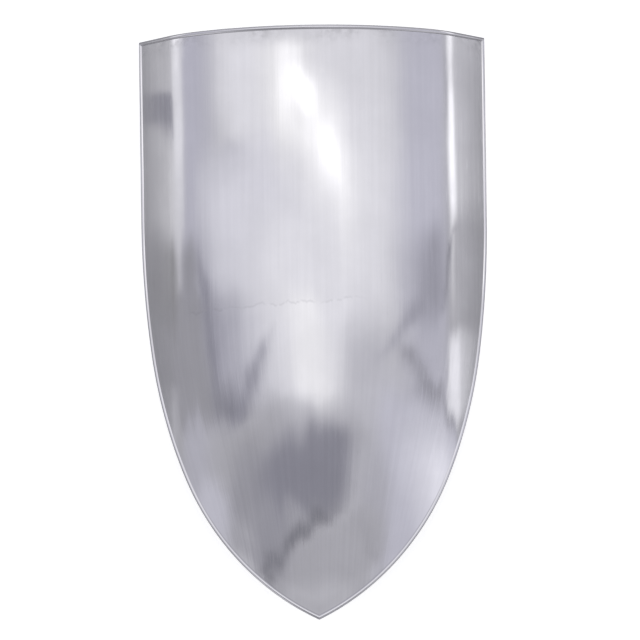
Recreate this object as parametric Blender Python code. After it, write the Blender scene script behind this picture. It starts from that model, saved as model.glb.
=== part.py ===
"""Heater shield of sheet steel: a bent plate with a rolled rim, held by two leather straps on welded loops.

The shield is shaped in its own frame first: x across, y from the tip to the top edge, z along the face's normal
at the crown line, where the middle of the sheet is at zero. It then lies face up, as it does when it is put down.
"""

import math

import bmesh
import bpy
from mathutils import Matrix, Vector

# Plate
SHIELD_LENGTH = 0.760
SHIELD_WIDTH = 0.466
SHEET_THICKNESS = 0.0012
RIM_DIAMETER = 0.006
RIM_SET_BACK = 0.0006

# Bend of the plate, the same at every height
CROWN_RADIUS = 0.350
CROWN_HALF_ANGLE = math.radians(25)
SIDE_BEND_RADIUS = 0.160
FLANGE_SLOPE = math.radians(43)

# Outline of one side, seen from the front: a heading is measured from straight down
SHOULDER_RADIUS = 1.220
SHOULDER_HEADING = math.radians(8.4)
FLANK_RADIUS = 0.605
FLANK_HEADING = math.radians(24.6)
POINT_RADIUS = 0.352

# Welded loops
LOOP_WIRE_DIAMETER = 0.005
LOOP_CORNER_RADIUS = 0.005
FIT_CLEARANCE = 0.0003
STRAP_TO_PLATE = 0.0015
STRAP_TO_LOOP = 0.0015

# Straps
LEATHER_THICKNESS = 0.0035
FOREARM_STRAP_WIDTH = 0.042
FOREARM_STRAP_SPAN = 0.160
FOREARM_STRAP_ARCH = 0.040
FOREARM_PLACE = 0.086
HAND_STRAP_WIDTH = 0.030
HAND_STRAP_SPAN = 0.120
HAND_STRAP_ARCH = 0.032
HAND_PLACE = 0.104
STRAPS_ABOVE_MIDDLE = 0.075
FOLD_LENGTH = 0.036
FOLD_CLOSES_OVER = 0.014

# Rivets
RIVET_SHANK_DIAMETER = 0.004
RIVET_HEAD_DIAMETER = 0.009
RIVET_HEAD_HEIGHT = 0.0022
RIVET_SETTING = 0.025
RIVET_SPACING = 0.020

# Fineness
TOP_COLUMNS = 24
STRAIGHT_STEPS = 3
SHOULDER_STEPS = 6
FLANK_STEPS = 7
POINT_STEPS = 11
RIM_STEPS = 8
WIRE_SIDES = 12
CORNER_STEPS = 4
STRAP_STEPS = 24
WRAP_STEPS = 8
RIVET_SIDES = 16
HEAD_STEPS = 3
SMOOTH_BELOW = math.radians(40)
TURN_HALVINGS = 30

RIM_RADIUS = RIM_DIAMETER / 2
WIRE_RADIUS = LOOP_WIRE_DIAMETER / 2
WRAP_RADIUS = WIRE_RADIUS + FIT_CLEARANCE + LEATHER_THICKNESS / 2
BAR_HEIGHT = STRAP_TO_PLATE + LEATHER_THICKNESS / 2 + WRAP_RADIUS
FOLD_PITCH = LEATHER_THICKNESS + FIT_CLEARANCE


def clear_scene():
    for thing in list(bpy.data.objects):
        bpy.data.objects.remove(thing, do_unlink=True)


def make_material(name, colour, roughness, metallic):
    material = bpy.data.materials.new(name)
    material.use_nodes = True
    shader = material.node_tree.nodes["Principled BSDF"]
    shader.inputs["Base Color"].default_value = (*colour, 1.0)
    shader.inputs["Roughness"].default_value = roughness
    shader.inputs["Metallic"].default_value = metallic
    return material


def make_empty(name, parent=None):
    empty = bpy.data.objects.new(name, None)
    bpy.context.scene.collection.objects.link(empty)
    empty.parent = parent
    return empty


def make_object(name, shape, material, parent):
    """Turns a bmesh into a smooth-shaded object under its parent."""
    bmesh.ops.recalc_face_normals(shape, faces=shape.faces)
    mesh = bpy.data.meshes.new(name)
    shape.to_mesh(mesh)
    shape.free()
    mesh.shade_smooth()
    mesh.set_sharp_from_angle(angle=SMOOTH_BELOW)
    mesh.materials.append(material)
    thing = bpy.data.objects.new(name, mesh)
    bpy.context.scene.collection.objects.link(thing)
    thing.parent = parent
    return thing


def bend_at(x):
    """Height and slope of the bent sheet's middle at x: a crown arc, a tighter bend and a flat flange."""
    across = abs(x)
    bend_start = CROWN_RADIUS * math.sin(CROWN_HALF_ANGLE)
    bend_width = SIDE_BEND_RADIUS * (math.sin(FLANGE_SLOPE) - math.sin(CROWN_HALF_ANGLE))
    bend_drop = CROWN_RADIUS * (1 - math.cos(CROWN_HALF_ANGLE))
    if across <= bend_start:
        slope = math.asin(across / CROWN_RADIUS)
        return -CROWN_RADIUS * (1 - math.cos(slope)), slope
    if across <= bend_start + bend_width:
        slope = math.asin((across - bend_start) / SIDE_BEND_RADIUS + math.sin(CROWN_HALF_ANGLE))
        return -bend_drop - SIDE_BEND_RADIUS * (math.cos(CROWN_HALF_ANGLE) - math.cos(slope)), slope
    flange_drop = bend_drop + SIDE_BEND_RADIUS * (math.cos(CROWN_HALF_ANGLE) - math.cos(FLANGE_SLOPE))
    beyond = across - bend_start - bend_width
    return -flange_drop - beyond * math.tan(FLANGE_SLOPE), FLANGE_SLOPE


def on_sheet(x, y):
    """Point on the middle of the sheet, and the face's normal there."""
    height, slope = bend_at(x)
    normal = Vector((math.copysign(math.sin(slope), x), 0, math.cos(slope)))
    return Vector((x, y, height)), normal


def side_line():
    """The rim's centre line down the right side, from the corner to the tip, as seen from the front.

    The side runs straight down and then turns inwards along three arcs of falling radius until it meets the
    middle. The straight stretch is what the arcs leave of the length.
    """
    arcs = (
        (SHOULDER_RADIUS, SHOULDER_HEADING, SHOULDER_STEPS),
        (FLANK_RADIUS, FLANK_HEADING, FLANK_STEPS),
        (POINT_RADIUS, None, POINT_STEPS),
    )
    x = SHIELD_WIDTH / 2 - RIM_RADIUS
    y = 0.0
    heading = 0.0
    curve = [(x, y)]
    for radius, end, steps in arcs:
        if end is None:
            end = math.acos(math.cos(heading) - x / radius)
        for step in range(1, steps + 1):
            turned = heading + (end - heading) * step / steps
            inwards = radius * (math.cos(heading) - math.cos(turned))
            downwards = radius * (math.sin(turned) - math.sin(heading))
            curve.append((x - inwards, y - downwards))
        x, y = curve[-1]
        heading = end
    tip = RIM_RADIUS / math.sin(heading) - SHIELD_LENGTH / 2
    top = SHIELD_LENGTH / 2 - RIM_RADIUS
    lift = tip - y
    straight = [
        (curve[0][0], top + (lift - top) * step / STRAIGHT_STEPS)
        for step in range(STRAIGHT_STEPS)
    ]
    return straight + [(across, along + lift) for across, along in curve]


def rim_angles():
    """Angles round the rim's section, from the sheet's front face over the outside to its back face."""
    front = math.pi - math.asin((SHEET_THICKNESS / 2 + RIM_SET_BACK) / RIM_RADIUS)
    back = math.asin((SHEET_THICKNESS / 2 - RIM_SET_BACK) / RIM_RADIUS) - math.pi
    return [front + (back - front) * step / RIM_STEPS for step in range(RIM_STEPS + 1)]


def rim_ring(before, here, after):
    """One section of the rolled rim, lying in the plane that halves the angle between its two neighbours."""
    point, normal = on_sheet(*here)
    first = normal.cross(point - on_sheet(*before)[0]).normalized()
    second = normal.cross(on_sheet(*after)[0] - point).normalized()
    outwards = (first + second) / (1 + first.dot(second))
    centre = point - RIM_SET_BACK * normal
    return [
        centre + RIM_RADIUS * (math.cos(angle) * outwards + math.sin(angle) * normal)
        for angle in rim_angles()
    ]


def bridge(shape, first, second):
    """Joins two rows of as many points with faces."""
    for index in range(len(first) - 1):
        shape.faces.new((first[index], first[index + 1], second[index + 1], second[index]))


def plate_shape():
    """The bent plate with its rolled rim as one closed body.

    Rows of points cross the sheet from rim to rim on both faces, and a section of the rim stands at both ends of
    each row and at every point of the top row. The rows end in a fan at the tip.
    """
    shape = bmesh.new()
    right = side_line()
    corner, top = right[0]
    top_row = [
        (corner * (2 * column / TOP_COLUMNS - 1), top)
        for column in range(TOP_COLUMNS + 1)
    ]
    left = [(-x, y) for x, y in right]
    outline = top_row + right[1:] + left[-2:0:-1]
    count = len(outline)
    rings = []
    for index, station in enumerate(outline):
        ring = rim_ring(outline[index - 1], station, outline[(index + 1) % count])
        rings.append([shape.verts.new(point) for point in ring])
    for index, ring in enumerate(rings):
        bridge(shape, ring, rings[(index + 1) % count])

    faces = ((0, SHEET_THICKNESS / 2), (-1, -SHEET_THICKNESS / 2))
    for edge, offset in faces:
        above = [ring[edge] for ring in rings[: TOP_COLUMNS + 1]]
        for step in range(1, len(right) - 1):
            last = rings[TOP_COLUMNS + step][edge]
            first = rings[count - step][edge]
            row = [first]
            for column in range(1, TOP_COLUMNS):
                x = first.co.x + (last.co.x - first.co.x) * column / TOP_COLUMNS
                point, normal = on_sheet(x, last.co.y)
                row.append(shape.verts.new(point + offset * normal))
            row.append(last)
            bridge(shape, above, row)
            above = row
        tip = rings[TOP_COLUMNS + len(right) - 1][edge]
        for column in range(TOP_COLUMNS):
            shape.faces.new((above[column], above[column + 1], tip))
    return shape


def tube_shape(path, radius):
    """A round bar along a path that lies in the x-z plane, closed with flat ends."""
    shape = bmesh.new()
    rings = []
    for index, point in enumerate(path):
        ahead = path[min(index + 1, len(path) - 1)] - path[max(index - 1, 0)]
        side = Vector((ahead.z, 0, -ahead.x)).normalized()
        ring = []
        for corner in range(WIRE_SIDES):
            angle = math.tau * corner / WIRE_SIDES
            offset = math.cos(angle) * side + math.sin(angle) * Vector((0, 1, 0))
            ring.append(shape.verts.new(point + radius * offset))
        rings.append(ring)
    for first, second in zip(rings, rings[1:]):
        bridge(shape, first + first[:1], second + second[:1])
    shape.faces.new(rings[0])
    shape.faces.new(rings[-1])
    return shape


def loop_shape(strap_width):
    """A wire staple: two feet on the plate's inner face, two round corners and the bar that holds the strap."""
    half = strap_width / 2 + STRAP_TO_LOOP + WIRE_RADIUS
    inner_radius = CROWN_RADIUS - SHEET_THICKNESS / 2
    foot_edge = half + WIRE_RADIUS
    foot = inner_radius - math.sqrt(inner_radius**2 - foot_edge**2) + FIT_CLEARANCE
    path = [Vector((-half, 0, foot))]
    for side, start in ((-1, math.pi), (1, math.pi / 2)):
        centre = Vector((side * (half - LOOP_CORNER_RADIUS), 0, BAR_HEIGHT - LOOP_CORNER_RADIUS))
        for step in range(CORNER_STEPS + 1):
            angle = start - math.pi / 2 * step / CORNER_STEPS
            path.append(centre + LOOP_CORNER_RADIUS * Vector((math.cos(angle), 0, math.sin(angle))))
    path.append(Vector((half, 0, foot)))
    return tube_shape(path, WIRE_RADIUS)


class StrapLine:
    """The middle of the leather in the y-z plane: a hanging arch between two bars, with both ends folded back."""

    def __init__(self, span, arch):
        self.half = span / 2
        self.arch = arch
        self.steepness = 2 * arch / self.half
        end_normal = Vector((0, self.steepness, 1)).normalized()
        self.end_height = BAR_HEIGHT + WRAP_RADIUS * end_normal.z
        self.reach = self.half + WRAP_RADIUS * end_normal.y

    def arch_point(self, share):
        """Point and outward normal of the arch, at a share from -1 at the lower bar to 1 at the upper bar."""
        point = Vector((0, share * self.reach, self.end_height + self.arch * (1 - share**2)))
        slope = -2 * self.arch * share / self.reach
        return point, Vector((0, -slope, 1)).normalized()

    def bar(self, side):
        point, normal = self.arch_point(side)
        return point - WRAP_RADIUS * normal

    def share_from_bar(self, distance):
        """Share of the arch that lies about this far along the leather from the upper bar."""
        slope = math.hypot(1, 2 * self.arch / self.reach)
        return 1 - distance / (slope * self.reach)

    def fold_depth(self, distance):
        """How far the folded end lies under the arch: it leaves the bar wide and closes on the leather."""
        closed = min(distance / FOLD_CLOSES_OVER, 1.0)
        eased = closed * closed * (3 - 2 * closed)
        return 2 * WRAP_RADIUS + (FOLD_PITCH - 2 * WRAP_RADIUS) * eased

    def fold(self, side):
        """The folded end from its cut edge to the bar."""
        points = []
        for step in range(WRAP_STEPS, 0, -1):
            distance = FOLD_LENGTH * step / WRAP_STEPS
            point, normal = self.arch_point(side * self.share_from_bar(distance))
            points.append(point - self.fold_depth(distance) * normal)
        return points

    def wrap(self, side):
        """Half a turn round the bar, from the plate's side to the arch's side."""
        normal = self.arch_point(side)[1]
        along = Vector((0, side * normal.z, -side * normal.y))
        points = []
        for step in range(WRAP_STEPS + 1):
            angle = math.pi * step / WRAP_STEPS
            points.append(self.bar(side) + WRAP_RADIUS * (math.sin(angle) * along - math.cos(angle) * normal))
        return points

    def points(self):
        lower = self.fold(-1) + self.wrap(-1)
        upper = self.fold(1) + self.wrap(1)
        arch = [
            self.arch_point(2 * step / STRAP_STEPS - 1)[0]
            for step in range(1, STRAP_STEPS)
        ]
        return lower + arch + upper[::-1]


def strap_shape(line, width):
    """A leather strip along its middle line, as wide as the strap."""
    path = line.points()
    faces = {1: [], -1: []}
    for index, point in enumerate(path):
        ahead = path[min(index + 1, len(path) - 1)] - path[max(index - 1, 0)]
        normal = Vector((0, -ahead.z, ahead.y)).normalized()
        for side, face in faces.items():
            face.append(point + side * LEATHER_THICKNESS / 2 * normal)
    section = faces[1] + faces[-1][::-1]
    shape = bmesh.new()
    edge = Vector((width / 2, 0, 0))
    first = [shape.verts.new(point - edge) for point in section]
    second = [shape.verts.new(point + edge) for point in section]
    bridge(shape, first + first[:1], second + second[:1])
    shape.faces.new(first)
    shape.faces.new(second)
    return shape


def turned_shape(profile, sides):
    """A closed body turned round z from (radius, height) points, of which the first and last lie on the axis."""
    shape = bmesh.new()
    ends = [shape.verts.new((0, 0, profile[index][1])) for index in (0, -1)]
    rings = []
    for radius, height in profile[1:-1]:
        ring = []
        for side in range(sides):
            angle = math.tau * side / sides
            ring.append(shape.verts.new((radius * math.cos(angle), radius * math.sin(angle), height)))
        rings.append(ring)
    for first, second in zip(rings, rings[1:]):
        bridge(shape, first + first[:1], second + second[:1])
    for end, ring in zip(ends, (rings[0], rings[-1])):
        for index in range(sides):
            shape.faces.new((end, ring[index], ring[(index + 1) % sides]))
    return shape


def rivet_shape():
    """A rivet with a low domed head on both sides of two layers of leather, with its middle at zero."""
    grip = FOLD_PITCH / 2 + LEATHER_THICKNESS / 2 + FIT_CLEARANCE
    head = RIVET_HEAD_DIAMETER / 2
    dome = [
        (head * math.cos(angle), grip + RIVET_HEAD_HEIGHT * (0.3 + 0.7 * math.sin(angle)))
        for angle in (math.pi / 2 * step / HEAD_STEPS for step in range(HEAD_STEPS))
    ]
    upper = [(RIVET_SHANK_DIAMETER / 2, grip), (head, grip)] + dome + [(0, grip + RIVET_HEAD_HEIGHT)]
    lower = [(radius, -height) for radius, height in reversed(upper)]
    return turned_shape(lower + upper, RIVET_SIDES)


def rivet_places(line, side, count):
    """Where the rivets of one end go, as matrices with z across the leather."""
    share = side * line.share_from_bar(RIVET_SETTING)
    point, normal = line.arch_point(share)
    middle = point - FOLD_PITCH / 2 * normal
    along = Vector((0, normal.z, -normal.y))
    turn = Matrix((Vector((1, 0, 0)), along, normal)).transposed().to_4x4()
    return [
        Matrix.Translation(middle + Vector((RIVET_SPACING * (index - (count - 1) / 2), 0, 0))) @ turn
        for index in range(count)
    ]


def drill(strap, places):
    """Cuts the rivet holes through both layers of a strap."""
    shape = bmesh.new()
    radius = RIVET_SHANK_DIAMETER / 2 + FIT_CLEARANCE
    depth = 2 * (FOLD_PITCH + LEATHER_THICKNESS)
    for place in places:
        bmesh.ops.create_cone(
            shape,
            cap_ends=True,
            segments=RIVET_SIDES,
            radius1=radius,
            radius2=radius,
            depth=depth,
            matrix=place,
        )
    cutter = make_object(strap.name + "_holes", shape, strap.data.materials[0], strap.parent)
    cutter.hide_render = True
    cutter.display_type = "WIRE"
    cut = strap.modifiers.new("rivet holes", "BOOLEAN")
    cut.operation = "DIFFERENCE"
    cut.solver = "EXACT"
    cut.object = cutter


def make_grip(name, place, width, span, arch, rivets, steel, leather, parent):
    """One strap with its two loops and its rivets, on the plate's inner face at x = place."""
    point, normal = on_sheet(place, STRAPS_ABOVE_MIDDLE)
    seat = make_empty(name + "_seat", parent)
    seat.location = point - SHEET_THICKNESS / 2 * normal
    seat.rotation_euler = (0, math.pi + math.atan2(normal.x, normal.z), 0)

    line = StrapLine(span, arch)
    strap = make_object(name + "_strap", strap_shape(line, width), leather, seat)
    places = []
    for side, end in ((1, "top"), (-1, "bottom")):
        loop = make_object(f"{name}_loop_{end}", loop_shape(width), steel, seat)
        loop.location.y = line.bar(side).y
        for index, spot in enumerate(rivet_places(line, side, rivets)):
            rivet = make_object(f"{name}_rivet_{end}_{index + 1}", rivet_shape(), steel, seat)
            rivet.matrix_local = spot
            places.append(spot)
    drill(strap, places)


def centre_of_volume(mesh):
    """Centre of a closed mesh, summed over the wedges between the origin and its triangles."""
    mesh.calc_loop_triangles()
    volume = 0.0
    moment = Vector()
    for triangle in mesh.loop_triangles:
        a, b, c = (mesh.vertices[index].co for index in triangle.vertices)
        wedge = a.dot(b.cross(c)) / 6
        volume += wedge
        moment += wedge * (a + b + c) / 4
    return moment / volume


def lay_down(frame, plate):
    """Turns the shield to the lie that it settles in on its two side edges, and puts it on the ground.

    The sides curve inwards below the shoulders, so the tip dips until the rim's lowest points are right under
    the centre of mass.
    """
    mesh = plate.data
    centre = centre_of_volume(mesh)
    level = 0.0
    steep = FLANGE_SLOPE
    for _ in range(TURN_HALVINGS):
        dip = (level + steep) / 2
        turn = Matrix.Rotation(dip, 3, "X")
        lowest = min((turn @ vertex.co for vertex in mesh.vertices), key=lambda spot: spot.z)
        if lowest.y > (turn @ centre).y:
            level = dip
        else:
            steep = dip
    turned = [Matrix.Rotation(level, 3, "X") @ vertex.co for vertex in mesh.vertices]
    corners = [
        Vector([pick(spot[axis] for spot in turned) for axis in range(3)])
        for pick in (min, max)
    ]
    middle = (corners[0] + corners[1]) / 2
    frame.rotation_euler = (level, 0, 0)
    frame.location = (-middle.x, -middle.y, -corners[0].z)


def main():
    clear_scene()
    face_steel = make_material("satin_steel", (0.56, 0.57, 0.58), 0.28, 1.0)
    plain_steel = make_material("plain_steel", (0.42, 0.42, 0.43), 0.45, 1.0)
    leather = make_material("brown_leather", (0.16, 0.08, 0.04), 0.6, 0.0)

    frame = make_empty("shield_frame")
    plate = make_object("shield_plate", plate_shape(), face_steel, frame)
    make_grip(
        "forearm",
        FOREARM_PLACE,
        FOREARM_STRAP_WIDTH,
        FOREARM_STRAP_SPAN,
        FOREARM_STRAP_ARCH,
        2,
        plain_steel,
        leather,
        frame,
    )
    make_grip(
        "hand",
        -HAND_PLACE,
        HAND_STRAP_WIDTH,
        HAND_STRAP_SPAN,
        HAND_STRAP_ARCH,
        1,
        plain_steel,
        leather,
        frame,
    )
    lay_down(frame, plate)


main()
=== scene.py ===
"""Heater shield: satin steel plate with a rolled rim, leather straps, wire loops and rivets.

Every shape is worked out in the shield's own frame, with x across, y from the tip to the top edge and z along
the face's normal at the crown line. lie_of_the_shield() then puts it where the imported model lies.
"""

import math

import bmesh
import bpy
import numpy as np
from bpy.props import FloatProperty, FloatVectorProperty, PointerProperty
from mathutils import Matrix, Vector


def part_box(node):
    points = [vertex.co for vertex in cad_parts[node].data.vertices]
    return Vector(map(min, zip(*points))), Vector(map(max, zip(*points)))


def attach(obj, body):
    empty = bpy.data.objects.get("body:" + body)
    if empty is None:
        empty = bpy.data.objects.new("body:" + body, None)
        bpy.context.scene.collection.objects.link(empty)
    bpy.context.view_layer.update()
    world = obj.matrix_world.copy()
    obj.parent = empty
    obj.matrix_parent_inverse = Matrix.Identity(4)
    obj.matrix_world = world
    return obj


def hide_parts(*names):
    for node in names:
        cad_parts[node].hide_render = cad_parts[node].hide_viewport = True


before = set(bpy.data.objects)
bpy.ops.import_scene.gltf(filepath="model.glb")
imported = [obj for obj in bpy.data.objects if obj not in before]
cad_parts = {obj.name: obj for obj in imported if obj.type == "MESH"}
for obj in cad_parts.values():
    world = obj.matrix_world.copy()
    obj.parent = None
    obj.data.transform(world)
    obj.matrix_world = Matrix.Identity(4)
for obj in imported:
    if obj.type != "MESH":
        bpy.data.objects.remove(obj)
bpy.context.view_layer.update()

bl_info = {
    "name": "Heater Shield",
    "version": (1, 0, 0),
    "blender": (4, 5, 0),
    "location": "View3D > Sidebar > Shield",
    "description": "Builds a steel heater shield with its straps, and a studio to show it in",
    "category": "Add Mesh",
}

BODY = "root"
MERGE_DISTANCE = 1e-6

# Fineness of the meshes
COLUMNS = 150
STRAIGHT_ROWS = 50
SHOULDER_ROWS = 36
FLANK_ROWS = 44
POINT_ROWS = 60
RIM_SIDES = 20
WIRE_SIDES = 24
LATHE_SIDES = 40
LEATHER_EDGE_STEPS = 4
FOLD_SPOTS = 40
TURN_SPOTS = 24
ARCH_SPOTS = 110
LEG_SPOTS = 5
QUARTER_TURN_SPOTS = 10
COVE_SPOTS = 9

# What the rim and the folds need besides the sizes that can be set
RIM_SET_BACK = 0.0006
FIT_CLEARANCE = 0.0003
STRAP_TO_PLATE = 0.0015
STRAP_TO_LOOP = 0.0015
FOLD_LENGTH = 0.036
FOLD_CLOSES_OVER = 0.014
STRAPS_ABOVE_MIDDLE = 0.075
RIVET_SETTING = 0.025
RIVET_SPACING = 0.020
LOOP_CORNER_RADIUS = 0.005
WELD_SIZE = 0.0022
WELD_START = 0.98
LEATHER_EDGE_RADIUS = 0.0011
RIVET_SHANK_RADIUS = 0.0020
RIVET_HEAD_RADIUS = 0.0045
RIVET_INNER_HEAD_RADIUS = 0.0030
LATHE_MAP_RADIUS = 0.005

# The slow waves of the face's relief, which fades out near the rim
RELIEF_SEED = 11
RELIEF_WAVES = 26
SHORTEST_WAVE = 0.07
LONGEST_WAVE = 0.26
WAVE_STRETCH_ACROSS = 0.75
RELIEF_FADE = 0.035

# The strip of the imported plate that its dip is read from: half its width and half its length
CROWN_STRIP = 1e-4
CROWN_REACH = 0.3

# Where the surface map's first number starts on the inner face and on the rim
BACK_SHIFT = 2.5
RIM_SHIFT = 5.0


class PlateSizes(bpy.types.PropertyGroup):
    """Sizes of the bent plate and its rolled rim."""

    length: FloatProperty(
        name="Length", description="From the top edge to the tip", default=0.760, unit="LENGTH"
    )
    width: FloatProperty(name="Width", description="Across both side rims", default=0.466, unit="LENGTH")
    thickness: FloatProperty(
        name="Sheet", description="Thickness of the sheet", default=0.0012, unit="LENGTH", precision=4
    )
    rim: FloatProperty(
        name="Rim", description="Diameter of the rolled rim", default=0.006, unit="LENGTH", precision=4
    )
    crown_radius: FloatProperty(
        name="Crown radius", description="Bend radius of the middle", default=0.350, unit="LENGTH"
    )
    crown_angle: FloatProperty(
        name="Crown half angle", description="Slope where the middle's arc ends",
        default=math.radians(25), subtype="ANGLE",
    )
    bend_radius: FloatProperty(
        name="Side bend radius", description="Radius of the tighter bend", default=0.160, unit="LENGTH"
    )
    flange_slope: FloatProperty(
        name="Flange slope", description="Slope of the flat side flanges",
        default=math.radians(43), subtype="ANGLE",
    )
    shoulder_radius: FloatProperty(
        name="Shoulder radius", description="First arc of the side", default=1.220, unit="LENGTH"
    )
    shoulder_heading: FloatProperty(
        name="Shoulder heading", description="Heading where the first arc ends",
        default=math.radians(8.4), subtype="ANGLE",
    )
    flank_radius: FloatProperty(
        name="Flank radius", description="Second arc of the side", default=0.605, unit="LENGTH"
    )
    flank_heading: FloatProperty(
        name="Flank heading", description="Heading where the second arc ends",
        default=math.radians(24.6), subtype="ANGLE",
    )
    point_radius: FloatProperty(
        name="Point radius", description="Last arc of the side, down to the tip",
        default=0.352, unit="LENGTH",
    )
    relief: FloatProperty(
        name="Hand relief", description="How far the sheet wanders from its true bend",
        default=0.00009, unit="LENGTH", precision=5,
    )


class GripSizes(bpy.types.PropertyGroup):
    """Sizes of the straps, loops and rivets."""

    leather: FloatProperty(
        name="Leather", description="Thickness of the straps", default=0.0035, unit="LENGTH", precision=4
    )
    wire: FloatProperty(
        name="Wire", description="Diameter of the loops' wire", default=0.005, unit="LENGTH", precision=4
    )
    forearm_width: FloatProperty(
        name="Forearm strap width", description="Width of the wide strap", default=0.042, unit="LENGTH"
    )
    forearm_span: FloatProperty(
        name="Forearm strap span", description="Between the wide strap's loops", default=0.160, unit="LENGTH"
    )
    forearm_arch: FloatProperty(
        name="Forearm strap arch", description="How far the wide strap hangs", default=0.040, unit="LENGTH"
    )
    forearm_place: FloatProperty(
        name="Forearm strap place", description="The wide strap's x", default=0.086, unit="LENGTH"
    )
    hand_width: FloatProperty(
        name="Hand strap width", description="Width of the narrow strap", default=0.030, unit="LENGTH"
    )
    hand_span: FloatProperty(
        name="Hand strap span", description="Between the narrow strap's loops", default=0.120, unit="LENGTH"
    )
    hand_arch: FloatProperty(
        name="Hand strap arch", description="How far the narrow strap hangs", default=0.032, unit="LENGTH"
    )
    hand_place: FloatProperty(
        name="Hand strap place", description="The narrow strap's x", default=-0.104, unit="LENGTH"
    )


class Finish(bpy.types.PropertyGroup):
    """Colours and polish."""

    steel: FloatVectorProperty(
        name="Steel", description="Colour of the polished plate", default=(0.615, 0.608, 0.627),
        size=3, subtype="COLOR", min=0, max=1,
    )
    polish: FloatProperty(
        name="Roughness", description="Roughness of the polished plate", default=0.068,
        subtype="FACTOR", min=0, max=1,
    )
    leather: FloatVectorProperty(
        name="Leather", description="Colour of the straps", default=(0.075, 0.034, 0.016),
        size=3, subtype="COLOR", min=0, max=1,
    )
    floor: FloatVectorProperty(
        name="Floor", description="Colour of the floor", default=(0.55, 0.55, 0.55),
        size=3, subtype="COLOR", min=0, max=1,
    )


def stacked(*columns):
    """Columns side by side in a new last axis, each stretched to the shape of the largest."""
    return np.stack(np.broadcast_arrays(*columns), axis=-1)


def joined(*parts):
    """Puts several (points, quads, uv) parts one after the other into one."""
    points, quads, uvs = [], [], []
    offset = 0
    for part_points, part_quads, part_uvs in parts:
        points.append(part_points)
        quads.append(part_quads + offset)
        uvs.append(part_uvs)
        offset += len(part_points)
    return np.concatenate(points), np.concatenate(quads), np.concatenate(uvs)


def grid(points, uv, around=False):
    """Turns an array of rows and columns of points into a part: each face joins four neighbours.

    With around set, the last column is joined to the first one.
    """
    rows, columns = points.shape[:2]
    index = np.arange(rows * columns).reshape(rows, columns)
    if around:
        index = np.concatenate([index, index[:, :1]], axis=1)
    quads = np.stack([index[:-1, :-1], index[:-1, 1:], index[1:, 1:], index[1:, :-1]], axis=-1)
    return points.reshape(-1, 3), quads.reshape(-1, 4), uv.reshape(-1, 2)


def make_piece(name, part, lie, material, replaces, smooth_below=50):
    """Makes a closed mesh from a part, puts it where the shield lies, and ties it to the frame."""
    points, quads, uvs = placed(part, lie)
    mesh = bpy.data.meshes.new(name)
    mesh.vertices.add(len(points))
    mesh.vertices.foreach_set("co", points.astype(np.float32).ravel())
    mesh.loops.add(quads.size)
    mesh.loops.foreach_set("vertex_index", quads.astype(np.int32).ravel())
    mesh.polygons.add(len(quads))
    mesh.polygons.foreach_set("loop_start", np.arange(0, quads.size, 4, dtype=np.int32))
    layer = mesh.uv_layers.new(name="surface")
    layer.data.foreach_set("uv", uvs[quads.ravel()].astype(np.float32).ravel())
    mesh.update(calc_edges=True)
    weld(mesh)
    mesh.shade_smooth()
    mesh.set_sharp_from_angle(angle=math.radians(smooth_below))
    mesh.materials.append(material)
    piece = bpy.data.objects.new(name, mesh)
    bpy.context.scene.collection.objects.link(piece)
    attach(piece, BODY)
    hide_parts(*replaces)


def weld(mesh):
    """Merges points that coincide, drops faces left with no area, and turns all faces outwards."""
    shape = bmesh.new()
    shape.from_mesh(mesh)
    bmesh.ops.remove_doubles(shape, verts=shape.verts, dist=MERGE_DISTANCE)
    bmesh.ops.dissolve_degenerate(shape, edges=shape.edges, dist=MERGE_DISTANCE)
    bmesh.ops.recalc_face_normals(shape, faces=shape.faces)
    if shape.calc_volume(signed=True) < 0:
        bmesh.ops.reverse_faces(shape, faces=shape.faces)
    shape.to_mesh(mesh)
    shape.free()


def bend(x, sizes):
    """Height, slope and distance along the sheet at x: an arc for the crown, a tighter one, a flat flange."""
    across = np.abs(x)
    sin_crown = math.sin(sizes.crown_angle)
    cos_crown = math.cos(sizes.crown_angle)
    start = sizes.crown_radius * sin_crown
    width = sizes.bend_radius * (math.sin(sizes.flange_slope) - sin_crown)
    crown = np.arcsin(np.clip(across / sizes.crown_radius, 0, sin_crown))
    turned = (across - start) / sizes.bend_radius + sin_crown
    turned = np.arcsin(np.clip(turned, sin_crown, math.sin(sizes.flange_slope)))
    beyond = np.maximum(across - start - width, 0)
    height = -sizes.crown_radius * (1 - np.cos(crown))
    height = height - sizes.bend_radius * (cos_crown - np.cos(turned))
    height = height - beyond * math.tan(sizes.flange_slope)
    slope = np.where(across <= start, crown, turned)
    run = sizes.crown_radius * crown + sizes.bend_radius * (turned - sizes.crown_angle)
    run = run + beyond / math.cos(sizes.flange_slope)
    return height, slope, np.copysign(run, x)


def on_sheet(x, y, sizes):
    """Points on the middle of the sheet and the face's normals there."""
    height, slope, _ = bend(x, sizes)
    return stacked(x, y, height), stacked(np.copysign(np.sin(slope), x), 0.0, np.cos(slope))


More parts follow.
